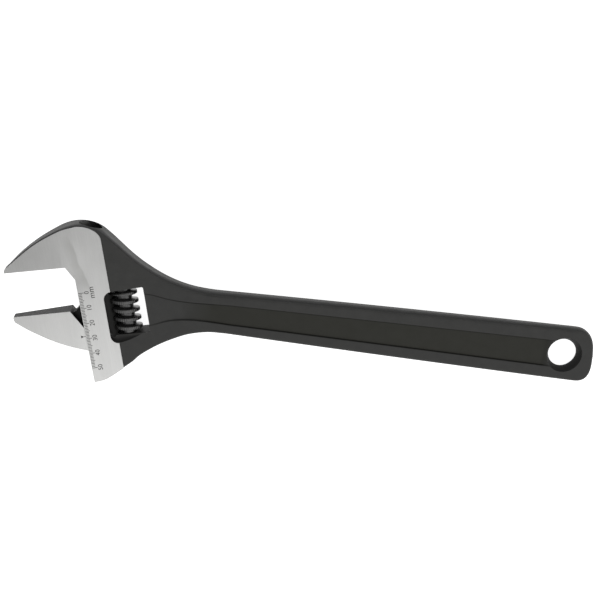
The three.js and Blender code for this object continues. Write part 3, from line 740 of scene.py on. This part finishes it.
def text_mesh(text, size, spot, matrix, depth):
    """Digits that read up the cheek, as a solid that reaches depth under spot's height."""
    curve = bpy.data.curves.new("digits", "FONT")
    curve.body = text
    curve.size = size
    curve.align_x = "CENTER"
    curve.align_y = "CENTER"
    curve.extrude = depth
    curve.resolution_u = 3
    holder = bpy.data.objects.new("digits", curve)
    bpy.context.scene.collection.objects.link(holder)
    mesh = bpy.data.meshes.new_from_object(holder.evaluated_get(bpy.context.evaluated_depsgraph_get()))
    bpy.data.objects.remove(holder)
    bm = bmesh.new()
    bm.from_mesh(mesh)
    bmesh.ops.remove_doubles(bm, verts=bm.verts, dist=1e-4)
    bmesh.ops.recalc_face_normals(bm, faces=bm.faces)
    bm.to_mesh(mesh)
    bm.free()
    mesh.transform(matrix @ Matrix.Translation(spot) @ Matrix.Rotation(math.pi / 2, 4, "Z"))
    made = bpy.data.objects.new("digits", mesh)
    bpy.context.scene.collection.objects.link(made)
    return made


def engrave(plate_piece, steel, cutters):
    """Cuts marks into a plate of steel, and gives the floor of each mark the paint."""
    plate_piece.data.materials.append(steel)
    for cutter in cutters:
        cutter.data.materials.clear()
        cutter.data.materials.append(paint)
        boolean(plate_piece, cutter, "DIFFERENCE")
    return plate_piece


def scale_marks():
    """Millimetre ticks from 0 to 50 along the cheek's edge, with a number at each ten."""
    face = HEAD_T / 2
    low, high = face - ENGRAVE_DEPTH, face + 1
    marks = []
    for k in range(51):
        length = 3.4 if k % 10 == 0 else (2.8 if k % 5 == 0 else 2.1)
        outline = bar_outline(0.3, 0.3 + length, SCALE_ZERO - k, TICK_W)
        marks.append(prism("tick", outline, low, high, HEAD))
    for ten in range(6):
        spot = Vector((NUMBER_X, SCALE_ZERO - 10 * ten, face))
        marks.append(text_mesh(str(10 * ten), NUMBER_SIZE, spot, HEAD, ENGRAVE_DEPTH))
    marks.append(text_mesh("mm", UNIT_SIZE, Vector((UNIT_X, SCALE_ZERO - 0.3, face)), HEAD, ENGRAVE_DEPTH))
    return marks


def pointer_marks():
    """The arrow on the movable jaw that points at the scale."""
    x = -CHEEK_GAP - 0.1
    face = float(blade_face(x - 2, 0))
    low, high = face - ENGRAVE_DEPTH - 0.1, face + 1
    line = bar_outline(x - 2.3, x, -POINTER_DROP, POINTER_W)
    head = [(x - 2.8, -POINTER_DROP + 0.9), (x - 2.8, -POINTER_DROP - 0.9), (x - 1.1, -POINTER_DROP)]
    return [prism("line", line, low, high, JAW), prism("arrow", head, low - 0.1, high, JAW)]


# ---- materials ---------------------------------------------------------------------------------------

FORGED_BLACK = [(0.3, (0.048, 0.048, 0.0465)), (0.7, (0.060, 0.060, 0.058))]
# The jaw's black, painted darker than the forging's as shade for the rail in its pocket.
MILLED_BLACK_AND_POCKET_SHADE = [(0.3, (0.013, 0.013, 0.0125)), (0.7, (0.021, 0.021, 0.020))]
TURNED_BLACK = [(0.3, (0.075, 0.075, 0.075)), (0.7, (0.115, 0.115, 0.113))]
PAINT_BLACK = [(0.3, (0.02, 0.02, 0.02)), (0.7, (0.06, 0.06, 0.058))]
PANEL_OLIVE = (0.0340, 0.0340, 0.0280)
# Painted shade for the panel's walls.
PANEL_WALL_SHADE = (0.003, 0.003, 0.002)
# Painted shade for the panel's upper line.
PANEL_LINE_SHADE = (0.012, 0.012, 0.011)
# Painted shade for the rounded edges.
ROUNDED_EDGE_SHADE = (0.018, 0.018, 0.0175)
WORN_FORGING = (0.10, 0.10, 0.098)
WORN_JAW = (0.16, 0.16, 0.155)
# Lighter crests: partly wear, partly a painted highlight.
CREST_WEAR_AND_SHEEN = (0.115, 0.115, 0.113)


class Shader:
    """Short calls for the nodes of one material."""

    def __init__(self, name):
        self.material = bpy.data.materials.new(name)
        self.material.use_nodes = True
        self.tree = self.material.node_tree
        self.principled = self.tree.nodes["Principled BSDF"]
        self.place = self.tree.nodes.new("ShaderNodeTexCoord").outputs["Object"]

    def link(self, source, target):
        self.tree.links.new(source, target)

    def give(self, socket, value):
        """Sets a socket to a number or a colour, or links another node's output to it."""
        if isinstance(value, tuple):
            socket.default_value = (*value, 1)
        elif isinstance(value, (int, float)):
            socket.default_value = value
        else:
            self.link(value, socket)

    def math(self, operation, a, b=0.0):
        node = self.tree.nodes.new("ShaderNodeMath")
        node.operation = operation
        for socket, value in zip(node.inputs, (a, b)):
            self.give(socket, value)
        return node.outputs[0]

    def product(self, first, *others):
        for other in others:
            first = self.math("MULTIPLY", first, other)
        return first

    def mapped(self, scale, turn):
        node = self.tree.nodes.new("ShaderNodeMapping")
        node.inputs["Scale"].default_value = scale
        turned_place = self.tree.nodes.new("ShaderNodeMapping")
        turned_place.inputs["Rotation"].default_value = (0, 0, turn)
        self.link(self.place, turned_place.inputs["Vector"])
        self.link(turned_place.outputs[0], node.inputs["Vector"])
        return node.outputs[0]

    def noise(self, scale, detail=4, roughness=0.5, vector=None):
        node = self.tree.nodes.new("ShaderNodeTexNoise")
        node.inputs["Scale"].default_value = scale
        node.inputs["Detail"].default_value = detail
        node.inputs["Roughness"].default_value = roughness
        self.link(vector or self.place, node.inputs["Vector"])
        return node.outputs["Fac"]

    def ramp(self, value, stops):
        node = self.tree.nodes.new("ShaderNodeValToRGB")
        while len(node.color_ramp.elements) < len(stops):
            node.color_ramp.elements.new(0.5)
        for element, (place, colour) in zip(node.color_ramp.elements, stops):
            element.position = place
            element.color = (*colour, 1)
        self.link(value, node.inputs["Fac"])
        return node.outputs["Color"]

    def range(self, value, low, high, to_low, to_high):
        node = self.tree.nodes.new("ShaderNodeMapRange")
        names = ("From Min", "From Max", "To Min", "To Max")
        for name, number in zip(names, (low, high, to_low, to_high)):
            node.inputs[name].default_value = number
        self.link(value, node.inputs["Value"])
        return node.outputs["Result"]

    def mix(self, share, a, b):
        node = self.tree.nodes.new("ShaderNodeMix")
        node.data_type = "RGBA"
        for name, value in (("Factor", share), ("A", a), ("B", b)):
            self.give(node.inputs[name], value)
        return node.outputs["Result"]

    def bump(self, height, strength, distance, normal=None):
        node = self.tree.nodes.new("ShaderNodeBump")
        node.inputs["Strength"].default_value = strength
        node.inputs["Distance"].default_value = distance
        self.link(height, node.inputs["Height"])
        if normal:
            self.link(normal, node.inputs["Normal"])
        return node.outputs["Normal"]

    def soft_edges(self, radius):
        node = self.tree.nodes.new("ShaderNodeBevel")
        node.samples = 4
        node.inputs["Radius"].default_value = radius
        return node.outputs["Normal"]

    def axes(self, vector):
        node = self.tree.nodes.new("ShaderNodeSeparateXYZ")
        self.link(vector, node.inputs[0])
        return node.outputs["X"], node.outputs["Y"], node.outputs["Z"]

    def in_frame(self, matrix):
        """The place in the frame of matrix, which is turned by the head's angle, in metres."""
        node = self.tree.nodes.new("ShaderNodeMapping")
        node.vector_type = "TEXTURE"
        node.inputs["Location"].default_value = matrix.translation * MM
        node.inputs["Rotation"].default_value = (0, 0, HEAD_ANGLE)
        self.link(self.place, node.inputs["Vector"])
        return node.outputs[0]

    def facing_up(self):
        """1 on level faces, 0 on upright ones."""
        geometry = self.tree.nodes.new("ShaderNodeNewGeometry")
        return self.math("ABSOLUTE", self.axes(geometry.outputs["Normal"])[2])

    def crease(self):
        """A faint cloudy streak of painted dark reflection where the jaw's taper meets the cheek,
        from the crown to the throat.
        """
        across, up, _ = self.axes(self.in_frame(HEAD))
        wander = self.range(self.noise(60, 2), 0.3, 0.7, -0.001, 0.001)
        middle = self.math("ADD", self.range(up, 0.018, -0.018, 0.001, 0.0085), wander)
        gap = self.math("SUBTRACT", across, middle)
        sharp_side = self.range(gap, 0.0006, -0.0003, 0, 1)
        soft_side = self.range(gap, -0.0060, -0.0005, 0, 1)
        ends = self.product(self.range(up, 0.021, 0.012, 0, 1), self.range(up, -0.024, -0.010, 0, 1))
        return self.product(sharp_side, soft_side, ends, 0.34)

    def edge_mask(self, radius):
        """1 within about radius of a sharp edge, 0 elsewhere."""
        bevel = self.soft_edges(radius)
        geometry = self.tree.nodes.new("ShaderNodeNewGeometry")
        dot = self.tree.nodes.new("ShaderNodeVectorMath")
        dot.operation = "DOT_PRODUCT"
        self.link(bevel, dot.inputs[0])
        self.link(geometry.outputs["Normal"], dot.inputs[1])
        return self.range(dot.outputs["Value"], 0.97, 0.80, 0, 1)

    def set(self, **values):
        for name, value in values.items():
            self.give(self.principled.inputs[name.replace("_", " ")], value)


def black_forging():
    """Black phosphate on a forged skin: matt, faintly mottled, a little olive in the panels, with painted
    shade on the panel's walls, along its upper line and on the rounded edges, and thin worn lines on the
    sharp ones."""
    s = Shader("black_forging")
    mottle = s.noise(160, 5, 0.6)
    fine = s.noise(2600, 3, 0.6)
    broad = s.noise(28, 3, 0.5)
    colour = s.ramp(mottle, FORGED_BLACK)
    along, up, out = s.axes(s.place)
    end = HANDLE.translation
    neck = (end.x - THROAT_TO_END + NECK_X) * MM
    hole = (end.x - HOLE_FROM_END) * MM
    from_axis = s.math("SUBTRACT", up, end.y * MM)
    off_axis = s.math("ABSOLUTE", from_axis)
    surface = s.range(along, neck, end.x * MM, NECK_T / 2 * MM, END_T / 2 * MM)
    depth = s.math("SUBTRACT", surface, s.math("ABSOLUTE", s.math("SUBTRACT", out, end.z * MM)))
    # Inside the panel's borders, from the neck to the hole.
    inside = s.product(
        s.range(along, neck - 0.03, neck - 0.01, 0, 1), s.range(off_axis, 0.0110, 0.0104, 0, 1),
        s.range(along, hole - 0.013, hole - 0.008, 1, 0),
    )
    panel = s.product(s.range(depth, 0.0002, 0.0009, 0, 1), inside)
    colour = s.mix(panel, colour, PANEL_OLIVE)
    # Painted shade on the panel's sloping walls, inside the borders.
    wall = s.product(
        s.range(depth, 0.00005, 0.0004, 0, 1), s.range(depth, 0.0012, 0.0008, 0, 1), inside, 0.85,
    )
    colour = s.mix(wall, colour, PANEL_WALL_SHADE)
    level = s.facing_up()
    # Painted shade on the half-upright faces of the rounded edges, outside the panel.
    painted_edge_shade = s.product(
        s.range(level, 0.80, 0.50, 0, 1), s.range(level, 0.02, 0.12, 0, 1), s.math("SUBTRACT", 1.0, inside),
    )
    colour = s.mix(painted_edge_shade, colour, ROUNDED_EDGE_SHADE)
    # Painted shade along the panel's upper wall, over the sweep from the window to the neck.
    line = s.product(
        s.range(along, neck - 0.075, neck - 0.065, 0, 1), s.range(along, neck - 0.012, neck - 0.004, 1, 0),
        s.range(off_axis, 0.0120, 0.0110, 0, 1), s.range(from_axis, 0.001, 0.002, 0.1, 1),
        s.range(level, 0.990, 0.955, 0, 0.75),
    )
    colour = s.mix(line, colour, PANEL_LINE_SHADE)
    worn = s.product(s.edge_mask(0.0004), s.range(s.noise(700, 3, 0.6), 0.4, 0.75, 0.05, 0.6))
    colour = s.mix(worn, colour, WORN_FORGING)
    grain = s.math("ADD", s.product(fine, 0.35), s.product(mottle, 0.65))
    normal = s.bump(grain, 0.28, 0.00012, s.bump(broad, 0.35, 0.0006))
    rough = s.range(mottle, 0.3, 0.7, 0.50, 0.62)
    s.set(Base_Color=colour, Roughness=rough, Specular_IOR_Level=0.2, Normal=normal)
    return s.material


def ground_steel(name, tone):
    """Ground steel: satin, with fine grinding lines that run up the head, and faint cloudiness."""
    s = Shader(name)
    lines = s.noise(1, 3, 0.6, s.mapped((5200, 70, 400), -HEAD_ANGLE))
    broad_lines = s.noise(1, 2, 0.5, s.mapped((900, 14, 90), -HEAD_ANGLE))
    cloud = s.noise(55, 4, 0.55)
    light = tone * 1.08
    colour = s.ramp(cloud, [(0.3, (tone, tone, tone * 0.985)), (0.7, (light, light, tone * 1.065))])
    colour = s.mix(s.range(lines, 0.35, 0.65, 0.0, 0.2), colour, (tone * 0.7, tone * 0.7, tone * 0.69))
    # A painted dark reflection along the crease between the jaw's taper and the cheek.
    colour = s.mix(s.crease(), colour, (tone * 0.55, tone * 0.55, tone * 0.52))
    rough = s.math("ADD", s.range(cloud, 0.3, 0.7, 0.30, 0.36), s.range(broad_lines, 0.3, 0.7, 0.0, 0.05))
    normal = s.bump(broad_lines, 0.10, 0.00006, s.bump(lines, 0.10, 0.00003))
    s.set(Base_Color=colour, Roughness=rough, Metallic=1.0, Normal=normal)
    return s.material


def engraving_paint():
    """Black paint on the floors of the engraved marks."""
    s = Shader("engraving_paint")
    colour = s.ramp(s.noise(900, 4), PAINT_BLACK)
    s.set(Base_Color=colour, Roughness=s.range(s.noise(1500, 2), 0.3, 0.7, 0.55, 0.75))
    return s.material


def jaw_black():
    """The movable jaw's forging: black, painted darker than the forging as shade for the rail in its pocket,
    and a little smoother where it was milled.
    """
    s = Shader("jaw_black")
    mottle = s.noise(240, 5, 0.6)
    lines = s.noise(1, 2, 0.5, s.mapped((300, 4200, 300), -HEAD_ANGLE))
    colour = s.ramp(mottle, MILLED_BLACK_AND_POCKET_SHADE)
    worn = s.product(s.edge_mask(0.0003), s.range(s.noise(900, 3), 0.4, 0.7, 0.1, 0.6))
    colour = s.mix(worn, colour, WORN_JAW)
    normal = s.bump(s.noise(2600, 3, 0.6), 0.2, 0.00008, s.bump(lines, 0.12, 0.00004))
    rough = s.range(mottle, 0.3, 0.7, 0.38, 0.5)
    s.set(Base_Color=colour, Roughness=rough, Specular_IOR_Level=0.12, Normal=normal)
    return s.material


def black_worm():
    """Black oxide on turned steel: glossier than the forging, with lighter serrated crests, partly rubbed
    wear and partly a painted highlight.
    """
    s = Shader("black_worm")
    mottle = s.noise(420, 4, 0.6)
    across, _, out = s.axes(s.in_frame(HEAD @ Matrix.Translation((WORM_X, WORM_Y, 0))))
    radius = s.math("SQRT", s.math("ADD", s.math("POWER", across, 2), s.math("POWER", out, 2)))
    crest = s.range(radius, (WORM_D / 2 - 0.5) * MM, (WORM_D / 2 - 0.05) * MM, 0, 1)
    # The crests are lighter: partly rubbed wear, partly a painted highlight.
    crest_wear_and_sheen = s.product(crest, s.range(s.noise(1400, 3), 0.35, 0.7, 0.1, 0.9))
    colour = s.mix(crest_wear_and_sheen, s.ramp(mottle, TURNED_BLACK), CREST_WEAR_AND_SHEEN)
    normal = s.bump(s.noise(3000, 3, 0.6), 0.12, 0.00006)
    s.set(Base_Color=colour, Roughness=s.range(mottle, 0.3, 0.7, 0.17, 0.28), Metallic=0.8, Normal=normal)
    return s.material


def drawn_steel(name, tone, low, high):
    """Plain steel for the pin and the spring."""
    s = Shader(name)
    cloud = s.noise(500, 4, 0.6)
    light = tone * 1.25
    colour = s.ramp(cloud, [(0.3, (tone, tone, tone * 0.98)), (0.7, (light, light, tone * 1.22))])
    normal = s.bump(s.noise(1, 2, 0.5, s.mapped((300, 5000, 300), -HEAD_ANGLE)), 0.1, 0.00003)
    s.set(Base_Color=colour, Roughness=s.range(cloud, 0.3, 0.7, low, high), Metallic=1.0, Normal=normal)
    return s.material


# ---- pieces ------------------------------------------------------------------------------------------

black = black_forging()
ground = ground_steel("ground_steel", 0.585)
fine_ground = ground_steel("fine_ground_steel", 0.66)
bored = drawn_steel("bored_steel", 0.10, 0.35, 0.5)
paint = engraving_paint()

forging = finish_mesh(make_forging(), "wrench", black)
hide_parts("body")

crease_grid = (list(np.arange(-7, 15.1, 1.1)), list(np.arange(-24, 24.1, 2.0)))
for side, label in ((1, "front"), (-1, "back")):
    land = plate("ground_face_" + label, land_outline(), head_face, LAND_RISE - LAND_GAP, crease_grid, side)
    if side > 0:
        engrave(land, ground, scale_marks())
    finish_mesh(land, "wrench", ground)
    blade = plate("jaw_side_" + label, blade_outline(), blade_face, JAW_PLATE_T, ([], []), side)
    blade.data.transform(JAW @ HEAD.inverted())
    if side > 0:
        engrave(blade, fine_ground, pointer_marks())
    finish_mesh(blade, "jaw", fine_ground)

jaw = finish_mesh(make_jaw(), "jaw", jaw_black())
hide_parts("movable_jaw")
worm = finish_mesh(make_worm(), "worm", black_worm(), 60)
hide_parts("worm")
pin = finish_mesh(make_pin(), "wrench", drawn_steel("pin_steel", 0.4, 0.25, 0.38), 50)
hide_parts("worm_pin")
spring = finish_mesh(make_spring(), "wrench", drawn_steel("spring_steel", 0.45, 0.2, 0.3), 60)
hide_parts("worm_spring")

# ---- floor, light and camera ---------------------------------------------------------------------------

FLOOR_HALF = 3.0
FLOOR_DROP = 0.0002
FLOOR_GLOW = 0.9
LIGHT_DISTANCE = 1.6
CAMERA_TILT = math.radians(18.98)
CAMERA_YAW = math.radians(3.73)
CAMERA_ROLL = math.radians(-8.54)
CAMERA_TARGET = (148.6, -20, 0)  # from the throat
CAMERA_AIM = (4.14, -13.56, -700)  # where the camera sees the target
CAMERA_ZOOM = 1.5644 * 700 / 600
SENSOR_W = 36


def make_floor():
    """A plain pale floor that glows a little, so that the object leaves hardly any shadow."""
    half = FLOOR_HALF
    corners = [(x, y, -FLOOR_DROP) for x, y in ((-half, -half), (half, -half), (half, half), (-half, half))]
    floor = mesh_object("floor", corners, [(0, 1, 2, 3)])
    s = Shader("pale_floor")
    s.set(Base_Color=(0.86, 0.86, 0.86), Roughness=0.9)
    s.set(Emission_Color=(1, 1, 1), Emission_Strength=FLOOR_GLOW)
    floor.data.materials.append(s.material)


def area_light(name, size, strength, azimuth, elevation):
    """A softbox that looks at the head from a direction given in degrees. Its power follows its area."""
    light = bpy.data.lights.new(name, "AREA")
    light.shape = "RECTANGLE"
    light.size, light.size_y = size
    light.energy = strength * math.pi * size[0] * size[1]
    made = bpy.data.objects.new(name, light)
    a, e = math.radians(azimuth), math.radians(elevation)
    away = Vector((math.cos(a) * math.cos(e), math.sin(a) * math.cos(e), math.sin(e)))
    made.location = Vector((-0.08, 0, 0.01)) + away * LIGHT_DISTANCE
    made.rotation_euler = (-away).to_track_quat("-Z", "Y").to_euler()
    bpy.context.scene.collection.objects.link(made)


def make_world(radiance):
    world = bpy.data.worlds.new("studio")
    bpy.context.scene.world = world
    world.use_nodes = True
    background = world.node_tree.nodes["Background"]
    background.inputs["Color"].default_value = (1, 1, 1, 1)
    background.inputs["Strength"].default_value = radiance


def make_camera():
    """Nearly overhead, a little behind the handle's top edge, so that the crown's thickness shows."""
    target = HEAD.translation + Vector(CAMERA_TARGET)
    turn = Matrix.Rotation(CAMERA_TILT, 3, "X") @ Matrix.Rotation(CAMERA_YAW, 3, "Y")
    turn = turn @ Matrix.Rotation(CAMERA_ROLL, 3, "Z")
    camera = bpy.data.cameras.new("camera")
    camera.sensor_width = SENSOR_W
    camera.lens = SENSOR_W * CAMERA_ZOOM
    camera.clip_start = 0.01
    made = bpy.data.objects.new("camera", camera)
    back = turn.transposed()
    made.matrix_world = Matrix.Translation((target - back @ Vector(CAMERA_AIM)) * MM) @ back.to_4x4()
    bpy.context.scene.collection.objects.link(made)
    bpy.context.scene.camera = made


make_floor()
make_world(0.40)
area_light("softbox_bottom", (1.6, 1.2), 1.17, -76, 52)
area_light("softbox_top", (1.4, 0.8), 0.22, 80, 42)
area_light("softbox_right", (0.9, 1.2), 0.8, 0, 38)
make_camera()
bpy.context.scene.view_settings.view_transform = "Standard"
